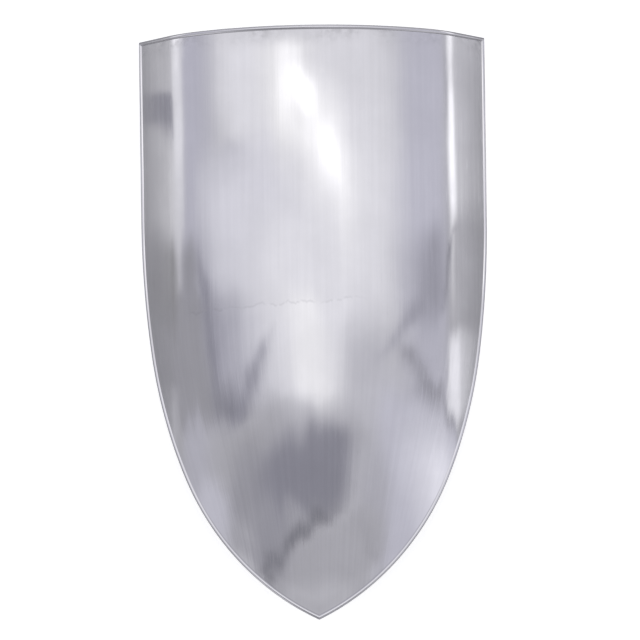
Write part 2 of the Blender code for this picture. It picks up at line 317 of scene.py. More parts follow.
def side_line(sizes):
    """The rim's centre line down the right side: straight, then three arcs of falling radius to the tip."""
    arcs = (
        (sizes.shoulder_radius, sizes.shoulder_heading, SHOULDER_ROWS),
        (sizes.flank_radius, sizes.flank_heading, FLANK_ROWS),
        (sizes.point_radius, None, POINT_ROWS),
    )
    x = sizes.width / 2 - sizes.rim / 2
    y = 0.0
    heading = 0.0
    xs, ys = [np.array([x])], [np.array([0.0])]
    for radius, end, steps in arcs:
        if end is None:
            end = math.acos(math.cos(heading) - x / radius)
        turned = np.linspace(heading, end, steps + 1)[1:]
        xs.append(x - radius * (math.cos(heading) - np.cos(turned)))
        ys.append(y - radius * (np.sin(turned) - math.sin(heading)))
        x, y = xs[-1][-1], ys[-1][-1]
        heading = end
    tip = sizes.rim / 2 / math.sin(heading) - sizes.length / 2
    top = sizes.length / 2 - sizes.rim / 2
    straight = np.linspace(top, tip - y, STRAIGHT_ROWS + 1)[:-1]
    x = np.concatenate([np.full(STRAIGHT_ROWS, xs[0][0]), *xs])
    y = np.concatenate([straight, np.concatenate(ys) + tip - y])
    x[-1] = 0.0
    return x, y


def relief_at(x, y, sizes):
    """How far the face wanders from its bend: a sum of slow waves in random directions, of mean square 1."""
    source = np.random.default_rng(RELIEF_SEED)
    _, _, run = bend(x, sizes)
    total = np.zeros_like(run)
    weight = 0.0
    for _ in range(RELIEF_WAVES):
        turn = source.uniform(0, math.pi)
        wave = source.uniform(SHORTEST_WAVE, LONGEST_WAVE)
        phase = source.uniform(0, math.tau)
        strength = wave / LONGEST_WAVE
        along = run * math.cos(turn) * WAVE_STRETCH_ACROSS + y * math.sin(turn)
        total += strength * np.sin(math.tau * along / wave + phase)
        weight += strength**2
    return total / math.sqrt(weight / 2)


def plate_part(sizes):
    """The plate: a front and a back grid between the rims, and the rim's section carried round the outline.

    A section stands on the plane that halves the angle between its neighbours, and runs from the front face
    over the outside to the back face. A row of the grids joins the sections at its two ends. The last row is
    the tip.
    """
    radius = sizes.rim / 2
    half = sizes.thickness / 2
    front = math.pi - math.asin((half + RIM_SET_BACK) / radius)
    back = math.asin((half - RIM_SET_BACK) / radius) - math.pi
    inset = -radius * math.cos(front)

    right_x, right_y = side_line(sizes)
    corner = right_x[0]
    inner = corner - inset * math.cos(sizes.flange_slope)
    top_x = np.linspace(-inner, inner, COLUMNS + 1)
    top_x[0], top_x[-1] = -corner, corner
    loop_x = np.concatenate([top_x, right_x[1:], -right_x[-2:0:-1]])
    loop_y = np.concatenate([np.full(COLUMNS + 1, right_y[0]), right_y[1:], right_y[-2:0:-1]])
    points, normals = on_sheet(loop_x, loop_y, sizes)

    before = points - np.roll(points, 1, axis=0)
    after = np.roll(points, -1, axis=0) - points
    first = np.cross(normals, before)
    second = np.cross(normals, after)
    first /= np.linalg.norm(first, axis=1, keepdims=True)
    second /= np.linalg.norm(second, axis=1, keepdims=True)
    outwards = (first + second) / (1 + np.sum(first * second, axis=1, keepdims=True))
    centres = points - RIM_SET_BACK * normals
    angle = np.linspace(front, back, RIM_SIDES + 1)[None, :, None]
    rings = centres[:, None] + radius * (np.cos(angle) * outwards[:, None] + np.sin(angle) * normals[:, None])
    travelled = np.concatenate([[0], np.cumsum(np.linalg.norm(after, axis=1))])
    closed = np.concatenate([rings, rings[:1]])
    uv = stacked(RIM_SHIFT + radius * angle[:, :, 0], travelled[:, None])
    parts = [grid(closed, uv)]

    rows = len(right_x)
    share = np.linspace(-1, 1, COLUMNS + 1)
    for edge, offset, shift in ((0, half, 0.0), (-1, -half, BACK_SHIFT)):
        ends = rings[COLUMNS:COLUMNS + rows, edge]
        x = ends[:, :1] * share[None, :]
        y = np.broadcast_to(ends[:, 1:2], x.shape)
        middle, normal = on_sheet(x, y, sizes)
        room = np.minimum(np.abs(ends[:, :1]) - np.abs(x), right_y[0] - y)
        sunk = sizes.relief * relief_at(x, y, sizes) * smooth_step(np.clip(room / RELIEF_FADE, 0, 1))
        face = middle + (offset + sunk[..., None]) * normal
        face[0] = rings[:COLUMNS + 1, edge]
        face[:, -1] = ends
        face[1:-1, 0] = rings[:COLUMNS + rows - 1:-1, edge]
        face[-1] = ends[-1]
        _, _, run = bend(x, sizes)
        parts.append(grid(face, stacked(run + shift, y)))
    return joined(*parts)


def distances(points):
    """Distance travelled along a row of points, from 0 at the first."""
    return np.concatenate([[0], np.cumsum(np.linalg.norm(np.diff(points, axis=0), axis=1))])


def sweep(path, sideways, section):
    """Carries a closed section along a path.

    path holds points, sideways a unit vector for each point, and section pairs of offsets, along sideways and
    along the third direction. Both ends are closed by shrinking the section to its middle.
    """
    ahead = np.gradient(path, axis=0)
    ahead /= np.linalg.norm(ahead, axis=1, keepdims=True)
    upwards = np.cross(ahead, sideways)
    rings = (
        path[:, None]
        + section[None, :, :1] * sideways[:, None]
        + section[None, :, 1:] * upwards[:, None]
    )
    uv = stacked(distances(section)[None, :], distances(path)[:, None])
    caps = [np.broadcast_to(rings[end].mean(axis=0), rings[end].shape)[None] for end in (0, -1)]
    rings = np.concatenate([caps[0], rings, caps[1]])
    uv = np.concatenate([uv[:1], uv, uv[-1:]])
    return grid(rings, uv, around=True)


def rounded_box(width, height, radius):
    """Section of a strip with round edges: four quarter circles joined by straights."""
    turn = np.linspace(0, math.pi / 2, LEATHER_EDGE_STEPS + 1)
    corners = []
    for quarter, (side, top) in enumerate(((1, 1), (-1, 1), (-1, -1), (1, -1))):
        angle = turn + quarter * math.pi / 2
        corners.append(stacked(
            side * (width / 2 - radius) + radius * np.cos(angle),
            top * (height / 2 - radius) + radius * np.sin(angle),
        ))
    return np.concatenate(corners)


def smooth_step(share):
    """Eases a share from 0 to 1: three times its square less twice its cube."""
    return share * share * (3 - 2 * share)


class StrapLine:
    """The middle of the leather in the y-z plane: a parabola between two bars, with both ends folded back."""

    def __init__(self, span, arch, grips):
        self.wrap = grips.wire / 2 + FIT_CLEARANCE + grips.leather / 2
        self.bar_height = STRAP_TO_PLATE + grips.leather / 2 + self.wrap
        self.pitch = grips.leather + FIT_CLEARANCE
        self.arch = arch
        normal = np.array([4 * arch / span, 1]) / math.hypot(4 * arch / span, 1)
        self.end_height = self.bar_height + self.wrap * normal[1]
        self.reach = span / 2 + self.wrap * normal[0]

    def arch_at(self, share):
        """Points and outward normals at shares from -1 at the lower bar to 1 at the upper bar."""
        share = np.asarray(share, float)
        y = share * self.reach
        z = self.end_height + self.arch * (1 - share**2)
        slope = -2 * self.arch * share / self.reach
        normal = stacked(0.0, -slope, 1.0)
        normal /= np.linalg.norm(normal, axis=-1, keepdims=True)
        return stacked(0.0, y, z), normal

    def bar(self, side):
        """Middle of a bar: the arch's end less the wrap along its normal."""
        point, normal = self.arch_at(side)
        return point - self.wrap * normal

    def share_from_bar(self, distance):
        """Share at a distance from the bar, with the arch taken as straight near its end."""
        return 1 - distance / (math.hypot(1, 2 * self.arch / self.reach) * self.reach)

    def fold(self, side):
        """The folded end from its cut edge to the bar: the arch, lowered by a depth that eases to a layer."""
        distance = np.linspace(FOLD_LENGTH, 0, FOLD_SPOTS)[:-1]
        point, normal = self.arch_at(side * self.share_from_bar(distance))
        eased = smooth_step(np.minimum(distance / FOLD_CLOSES_OVER, 1))
        depth = 2 * self.wrap + (self.pitch - 2 * self.wrap) * eased
        return point - depth[:, None] * normal

    def turn(self, side):
        """Half a turn round the bar, from the plate's side to the arch's side."""
        _, normal = self.arch_at(side)
        along = np.array([0, side * normal[2], -side * normal[1]])
        angle = np.linspace(0, math.pi, TURN_SPOTS)[:, None]
        return self.bar(side) + self.wrap * (np.sin(angle) * along - np.cos(angle) * normal)

    def points(self):
        """The whole line, from the lower end's cut edge to the upper end's."""
        arch, _ = self.arch_at(np.linspace(-1, 1, ARCH_SPOTS)[1:-1])
        lower = [self.fold(-1), self.turn(-1)]
        upper = [self.turn(1)[::-1], self.fold(1)[::-1]]
        return np.concatenate(lower + [arch] + upper)


def lathe(profile):
    """Turns (radius, height) points round z, with the first and last point on the axis."""
    angle = np.linspace(0, math.tau, LATHE_SIDES, endpoint=False)[None, :]
    radius, height = profile[:, :1], profile[:, 1:]
    points = stacked(radius * np.cos(angle), radius * np.sin(angle), height)
    return grid(points, stacked(angle * LATHE_MAP_RADIUS, distances(profile)[:, None]), around=True)


def placed(part, matrix):
    """Moves a part by a 4 by 4 matrix."""
    points, quads, uvs = part
    return points @ matrix[:3, :3].T + matrix[:3, 3], quads, uvs


def seat_matrix(place, plate):
    """Where a grip sits: on the inner face at x = place, with z into the hollow and y up to the top edge."""
    point, normal = on_sheet(np.array([place]), np.array([STRAPS_ABOVE_MIDDLE]), plate)
    inner = point[0] - plate.thickness / 2 * normal[0]
    matrix = np.eye(4)
    matrix[:3, 2] = -normal[0]
    matrix[:3, 1] = (0, 1, 0)
    matrix[:3, 0] = np.cross(matrix[:3, 1], matrix[:3, 2])
    matrix[:3, 3] = inner
    return matrix


def loop_part(width, line, grips, plate, side):
    """A wire staple with its welds: two legs, two quarter turns and the bar, and a cove round each foot."""
    wire = grips.wire / 2
    half = width / 2 + STRAP_TO_LOOP + wire
    inner = plate.crown_radius - plate.thickness / 2
    foot = inner - math.sqrt(inner**2 - (half + wire) ** 2) + FIT_CLEARANCE / 2
    y = line.bar(side)[1]
    corner = line.bar_height - LOOP_CORNER_RADIUS
    legs = np.linspace(foot, corner, LEG_SPOTS)[:-1]
    turn = np.linspace(math.pi, math.pi / 2, QUARTER_TURN_SPOTS)
    left = np.concatenate([
        stacked(-half, y, legs),
        stacked(
            -half + LOOP_CORNER_RADIUS * (1 + np.cos(turn)), y, corner + LOOP_CORNER_RADIUS * np.sin(turn)
        ),
    ])
    right = left[::-1] * (-1, 1, 1)
    path = np.concatenate([left, right])
    angle = np.linspace(0, math.tau, WIRE_SIDES, endpoint=False)
    section = wire * stacked(np.cos(angle), np.sin(angle))
    sideways = np.broadcast_to((0.0, 1.0, 0.0), path.shape)
    parts = [sweep(path, sideways, section)]

    rise = np.linspace(0, 1, COVE_SPOTS)
    spread = WELD_SIZE * (1 - np.sqrt(np.maximum(1 - (1 - rise) ** 2, 0)))
    cove = stacked(wire * WELD_START + spread, WELD_SIZE * rise)
    cove = np.concatenate([[[0, 0]], cove, [[0, WELD_SIZE]]])
    for x in (-half, half):
        matrix = np.eye(4)
        lean = x / inner
        matrix[:3, 0] = (math.cos(lean), 0, math.sin(lean))
        matrix[:3, 2] = (-math.sin(lean), 0, math.cos(lean))
        matrix[:3, 3] = (x, y, inner - math.sqrt(inner**2 - x**2) - FIT_CLEARANCE / 3)
        parts.append(placed(lathe(cove), matrix))
    return joined(*parts)


def strap_part(line, width, grips):
    """A leather strip with round edges along the strap's middle line."""
    path = line.points()
    sideways = np.broadcast_to((1.0, 0.0, 0.0), path.shape)
    return sweep(path, sideways, rounded_box(width, grips.leather, LEATHER_EDGE_RADIUS))


def rivet_part(line):
    """A rivet through both layers: a low dome on the outside and a washer with a small dome inside."""
    grip = line.pitch / 2 + (line.pitch - FIT_CLEARANCE) / 2 + FIT_CLEARANCE / 3
    shank, head, small_head = RIVET_SHANK_RADIUS, RIVET_HEAD_RADIUS, RIVET_INNER_HEAD_RADIUS
    angle = np.linspace(0, math.pi / 2, QUARTER_TURN_SPOTS)
    dome = stacked(head * np.cos(angle), grip + 0.0006 + 0.0016 * np.sin(angle))
    outside = np.concatenate([[[shank, grip], [head - 0.0002, grip], [head, grip + 0.0002]], dome])
    small = stacked(small_head * np.cos(angle), grip + 0.0009 + 0.0012 * np.sin(angle))
    washer = [[shank, grip], [head, grip], [head, grip + 0.0008], [head - 0.0002, grip + 0.0009]]
    inside = np.concatenate([washer, small])
    inside[-1, 0] = outside[-1, 0] = 0
    inside[:, 1] *= -1
    return lathe(np.concatenate([inside[::-1], outside]))


def rivet_matrices(line, side, count):
    """Matrices of one end's rivets, with z across the leather."""
    point, normal = line.arch_at(side * line.share_from_bar(RIVET_SETTING))
    matrices = []
    for index in range(count):
        matrix = np.eye(4)
        matrix[:3, 1] = (0, normal[2], -normal[1])
        matrix[:3, 2] = normal
        matrix[:3, 3] = point - line.pitch / 2 * normal
        matrix[0, 3] = RIVET_SPACING * (index - (count - 1) / 2)
        matrices.append(matrix)
    return matrices


def lie_of_the_shield(part):
    """Matrix from the shield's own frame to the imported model's.

    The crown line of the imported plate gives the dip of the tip. The plate's own part, turned by it, is then
    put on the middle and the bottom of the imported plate's box.
    """
    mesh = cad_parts["shield_plate"].data
    points = np.empty(len(mesh.vertices) * 3, np.float32)
    mesh.vertices.foreach_get("co", points)
    points = points.reshape(-1, 3).astype(float)
    crown = points[np.abs(points[:, 0]) < CROWN_STRIP]
    middle_rows = crown[np.abs(crown[:, 1]) < CROWN_REACH]
    dip = math.atan(np.polyfit(middle_rows[:, 1], middle_rows[:, 2], 1)[0])
    turn = np.array(Matrix.Rotation(dip, 3, "X"))
    own = part[0] @ turn.T
    low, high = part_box("shield_plate")
    matrix = np.eye(4)
    matrix[:3, :3] = turn
    matrix[0, 3] = (low.x + high.x) / 2
    matrix[1, 3] = (low.y + high.y) / 2 - (own[:, 1].min() + own[:, 1].max()) / 2
    matrix[2, 3] = low.z - own[:, 2].min()
    return matrix


class Nodes:
    """Short forms for adding and joining nodes of one tree."""

    def __init__(self, tree):
        self.tree = tree

    def add(self, kind, **settings):
        node = self.tree.nodes.new(kind)
        for name, value in settings.items():
            setattr(node, name, value)
        return node

    def put(self, value, socket):
        """Joins an output to a socket, or sets the socket's own value."""
        if isinstance(value, bpy.types.NodeSocket):
            self.tree.links.new(value, socket)
        else:
            socket.default_value = value

    def parts(self, vector):
        node = self.add("ShaderNodeSeparateXYZ")
        self.put(vector, node.inputs[0])
        return node.outputs

    def math(self, operation, *values, clamp=False):
        node = self.add("ShaderNodeMath", operation=operation, use_clamp=clamp)
        for value, socket in zip(values, node.inputs):
            self.put(value, socket)
        return node.outputs[0]

    def times(self, first, second):
        return self.math("MULTIPLY", first, second)

    def remap(self, value, low, high, to_low=0.0, to_high=1.0, shape="LINEAR"):
        node = self.add("ShaderNodeMapRange", interpolation_type=shape)
        for item, socket in zip((value, low, high, to_low, to_high), node.inputs):
            self.put(item, socket)
        return node.outputs[0]

    def ease(self, *values):
        """A remap with soft ends."""
        return self.remap(*values, shape="SMOOTHSTEP")

    def noise(self, vector, scale, detail=2.0, roughness=0.5):
        node = self.add("ShaderNodeTexNoise")
        self.put(vector, node.inputs["Vector"])
        self.put(scale, node.inputs["Scale"])
        self.put(detail, node.inputs["Detail"])
        self.put(roughness, node.inputs["Roughness"])
        return node.outputs["Fac"]

    def stretch(self, vector, across, along):
        node = self.add("ShaderNodeMapping")
        self.put(vector, node.inputs["Vector"])
        node.inputs["Scale"].default_value = (across, along, 1.0)
        return node.outputs["Vector"]

    def mix(self, factor, first, second):
        node = self.add("ShaderNodeMix", data_type="RGBA")
        self.put(factor, node.inputs["Factor"])
        for value, socket in ((first, node.inputs[6]), (second, node.inputs[7])):
            self.put(value, socket)
        return node.outputs[2]

    def bump(self, height, strength, distance, normal=None):
        node = self.add("ShaderNodeBump")
        self.put(height, node.inputs["Height"])
        node.inputs["Strength"].default_value = strength
        node.inputs["Distance"].default_value = distance
        if normal is not None:
            self.put(normal, node.inputs["Normal"])
        return node.outputs["Normal"]


def new_group(name, inputs, outputs):
    """An empty node group with sockets given as {name: socket type}: its nodes, and its ins and outs."""
    group = bpy.data.node_groups.new(name, "ShaderNodeTree")
    for label, kind in inputs.items():
        group.interface.new_socket(label, in_out="INPUT", socket_type=kind)
    for label, kind in outputs.items():
        group.interface.new_socket(label, in_out="OUTPUT", socket_type=kind)
    nodes = Nodes(group)
    return nodes, nodes.add("NodeGroupInput").outputs, nodes.add("NodeGroupOutput").inputs


def brushing_group():
    """Fine streaks along a surface, closing in towards the tip, and thin scratches."""
    nodes, given, out = new_group(
        "brushing",
        {"Surface": "NodeSocketVector"},
        {"Streaks": "NodeSocketFloat", "Scratches": "NodeSocketFloat"},
    )
    across, along, _ = nodes.parts(given["Surface"])
    closing = nodes.ease(along, -0.42, 0.02, 0.55, 1.0)
    fan = nodes.add("ShaderNodeCombineXYZ")
    nodes.put(nodes.math("DIVIDE", across, closing), fan.inputs[0])
    nodes.put(along, fan.inputs[1])
    fine = nodes.noise(nodes.stretch(fan.outputs[0], 900, 9), 1.0, 2.0, 0.6)
    broad = nodes.noise(nodes.stretch(fan.outputs[0], 150, 3.5), 1.0, 2.0, 0.5)
    streaks = nodes.math("ADD", nodes.times(fine, 0.25), nodes.times(broad, 0.75))
    nodes.put(streaks, out["Streaks"])
    scratches = nodes.noise(nodes.stretch(given["Surface"], 2600, 26), 1.0, 1.0, 0.5)
    nodes.put(nodes.ease(scratches, 0.66, 0.74), out["Scratches"])


def clouds_group():
    """Slow patches of handling and haze, from 0 to 1."""
    nodes, given, out = new_group(
        "handling_clouds",
        {"Surface": "NodeSocketVector", "Scale": "NodeSocketFloat"},
        {"Clouds": "NodeSocketFloat"},
    )
    cloud = nodes.noise(given["Surface"], given["Scale"], 4.0, 0.55)
    nodes.put(nodes.ease(cloud, 0.32, 0.68), out["Clouds"])


def clouds(nodes, place, scale):
    """The patches of handling and haze at a place, at a scale."""
    return use_group(nodes, "handling_clouds", Surface=place, Scale=scale)["Clouds"]


def new_material(name):
    material = bpy.data.materials.new(name)
    material.use_nodes = True
    nodes = Nodes(material.node_tree)
    shader = material.node_tree.nodes["Principled BSDF"]
    return material, nodes, shader.inputs


def use_group(nodes, name, **values):
    node = nodes.add("ShaderNodeGroup", node_tree=bpy.data.node_groups[name])
    for label, value in values.items():
        nodes.put(value, node.inputs[label])
    return node.outputs


def shade(colour, factor):
    """A colour times a factor, as red, green, blue and alpha."""
    return tuple(min(channel * factor, 1.0) for channel in colour) + (1.0,)


def plate_steel(finish):
    """Satin-polished steel: streaks from the top edge to the tip, haze, and a duller inner face.

    The surface map's first number says where a point is: near 0 on the front, from 1 to 4 on the inner face
    and above 4 on the rim.
    """
    material, nodes, shader = new_material("satin_steel_plate")
    surface = nodes.add("ShaderNodeUVMap", uv_map="surface").outputs["UV"]
    across, along, _ = nodes.parts(surface)
    inner = nodes.times(nodes.math("GREATER_THAN", across, 1.0), nodes.math("LESS_THAN", across, 4.0))
    brushing = use_group(nodes, "brushing", Surface=surface)
    haze = clouds(nodes, surface, 9.0)
    spots = clouds(nodes, surface, 38.0)

    stain = stain_mask(nodes, surface, across, along)
    bright = nodes.mix(haze, shade(finish.steel, 1.03), shade(finish.steel, 0.95))
    streaked = nodes.ease(brushing["Streaks"], 0.36, 0.64, 1.0, 0.0)
    bright = nodes.mix(nodes.times(streaked, 0.25), bright, shade(finish.steel, 0.88))
    bright = nodes.mix(nodes.times(stain, 0.22), bright, shade(finish.steel, 0.58))
    # Darker in spots along the top edge and in the two top corners
    edge_darkening = top_edge_darkening(nodes, surface, across, along)
    bright = nodes.mix(nodes.times(edge_darkening, 0.5), bright, shade(finish.steel, 0.42))
    dull = nodes.mix(spots, shade(finish.steel, 0.62), shade(finish.steel, 0.78))
    nodes.put(nodes.mix(inner, bright, dull), shader["Base Color"])

    polished = nodes.math("MULTIPLY_ADD", brushing["Streaks"], 0.05, finish.polish - 0.025)
    polished = nodes.math("MULTIPLY_ADD", haze, 0.02, polished)
    polished = nodes.math("MULTIPLY_ADD", stain, 0.05, polished)
    polished = nodes.math("MULTIPLY_ADD", edge_darkening, 0.08, polished)
    rough = nodes.math("MULTIPLY_ADD", spots, 0.10, 0.42)
    polished = nodes.times(nodes.math("SUBTRACT", 1.0, inner), polished)
    nodes.put(nodes.math("ADD", nodes.times(inner, rough), polished), shader["Roughness"])
    shader["Metallic"].default_value = 1.0
    shader["Anisotropic"].default_value = 1.0
    tangent = nodes.add("ShaderNodeTangent", direction_type="UV_MAP", uv_map="surface")
    nodes.put(tangent.outputs[0], shader["Tangent"])
    flange = nodes.ease(nodes.math("ABSOLUTE", across), 0.165, 0.195, 1.0, 0.35)
    lines = nodes.bump(nodes.times(brushing["Streaks"], flange), 0.8, 0.00007)
    nodes.put(nodes.bump(brushing["Scratches"], 0.12, 0.00005, lines), shader["Normal"])
    return material


def stain_mask(nodes, surface, across, along):
    """A faint tide mark across the left and middle of the face: a thin line that wanders up and down."""
    wander = nodes.noise(nodes.stretch(surface, 34, 3), 1.0, 5.0, 0.7)
    height = nodes.math("MULTIPLY_ADD", wander, 0.030, nodes.math("MULTIPLY_ADD", across, 0.07, 0.012))
    edge = nodes.math("SUBTRACT", along, height)
    line = nodes.ease(nodes.math("ABSOLUTE", edge), 0.0, 0.0024, 1.0, 0.0)
    above = nodes.times(nodes.ease(edge, 0.0, 0.0015), nodes.ease(edge, 0.004, 0.030, 1.0, 0.0))
    left = nodes.ease(across, -0.185, -0.155)
    right = nodes.ease(across, 0.03, 0.08, 1.0, 0.0)
    gaps = nodes.ease(nodes.noise(nodes.stretch(surface, 90, 5), 1.0, 2.0), 0.36, 0.54)
    line = nodes.times(line, gaps)
    both = nodes.math("ADD", line, nodes.times(above, 0.25), clamp=True)
    return nodes.times(both, nodes.times(left, right))


def top_edge_darkening(nodes, surface, across, along):
    """Darker in spots along the top edge, and more so in the two top corners: noise patches and specks, eased
    in towards the rim.
    """
    patches = clouds(nodes, surface, 22.0)
    specks = clouds(nodes, surface, 95.0)
    top = nodes.ease(along, 0.350, 0.380)
    corner = nodes.ease(nodes.math("ABSOLUTE", across), 0.228, 0.262)
    corner = nodes.times(corner, nodes.ease(along, 0.335, 0.378))
    spotted = nodes.times(nodes.times(patches, specks), top)
    both = nodes.math("ADD", spotted, nodes.times(corner, specks), clamp=True)
    return nodes.times(both, nodes.math("LESS_THAN", across, 1.0))


def fitting_steel():
    """Plain drawn wire and rivet heads: a dull steel with small spots."""
    material, nodes, shader = new_material("plain_steel_fittings")
    place = nodes.add("ShaderNodeTexCoord").outputs["Object"]
    spots = clouds(nodes, place, 420.0)
    nodes.put(nodes.mix(spots, (0.46, 0.46, 0.47, 1), (0.33, 0.32, 0.31, 1)), shader["Base Color"])
    nodes.put(nodes.math("MULTIPLY_ADD", spots, 0.16, 0.30), shader["Roughness"])
    shader["Metallic"].default_value = 1.0
    nodes.put(nodes.bump(spots, 0.25, 0.0001), shader["Normal"])
    return material


def strap_leather(finish, width, thickness):
    """Dark belt leather: fine grain, soft creases across, a pressed line and darker edges along both sides.

    The strap's surface map runs round its section and then along it, both in metres.
    """
    material, nodes, shader = new_material(f"leather_{round(width * 1000)}mm")
    surface = nodes.add("ShaderNodeUVMap", uv_map="surface").outputs["UV"]
    place = nodes.add("ShaderNodeTexCoord").outputs["Object"]
    round_section = nodes.parts(surface)[0]
    lap = 2 * (width + thickness) - 1.9 * LEATHER_EDGE_RADIUS
    half_lap = nodes.math("MODULO", round_section, lap / 2)
    from_middle = nodes.math("ABSOLUTE", nodes.math("SUBTRACT", half_lap, (width - 0.002) / 2))
    grain = nodes.add("ShaderNodeTexVoronoi", feature="DISTANCE_TO_EDGE")
    nodes.put(place, grain.inputs["Vector"])
    grain.inputs["Scale"].default_value = 900.0
    pores = nodes.remap(grain.outputs["Distance"], 0.0, 0.22)
    creases = nodes.noise(nodes.stretch(surface, 30, 420), 1.0, 3.0, 0.6)
    worn = clouds(nodes, place, 60.0)
    line_place = nodes.math("ABSOLUTE", nodes.math("SUBTRACT", from_middle, width / 2 - 0.0042))
    line = nodes.ease(line_place, 0.0, 0.0007, 1.0, 0.0)
    edge = nodes.ease(from_middle, width / 2 - 0.0022, width / 2 - 0.0005)

    colour = nodes.mix(worn, shade(finish.leather, 0.85), shade(finish.leather, 1.55))
    colour = nodes.mix(nodes.times(line, 0.7), colour, shade(finish.leather, 0.45))
    colour = nodes.mix(nodes.times(edge, 0.75), colour, shade(finish.leather, 0.40))
    nodes.put(colour, shader["Base Color"])
    nodes.put(nodes.math("MULTIPLY_ADD", worn, -0.12, 0.56), shader["Roughness"])
    normal = nodes.bump(pores, 0.30, 0.0002)
    normal = nodes.bump(creases, 0.25, 0.0004, normal)
    nodes.put(nodes.bump(line, 0.6, -0.0004, normal), shader["Normal"])
    return material


def floor_paint(finish):
    """Pale matt studio floor that glows a little, so that it stays near white under the soft light."""
    material, nodes, shader = new_material("pale_floor")
    place = nodes.add("ShaderNodeTexCoord").outputs["Object"]
    patches = nodes.noise(place, 3.0)
    nodes.put(nodes.mix(patches, shade(finish.floor, 0.99), shade(finish.floor, 1.0)), shader["Base Color"])
    shader["Roughness"].default_value = 0.9
    shader["Specular IOR Level"].default_value = 0.1
    shader["Emission Color"].default_value = (1.0, 1.0, 1.0, 1.0)
    seen = nodes.add("ShaderNodeLightPath").outputs["Is Camera Ray"]
    nodes.put(nodes.times(seen, FLOOR_GLOW), shader["Emission Strength"])
    return material


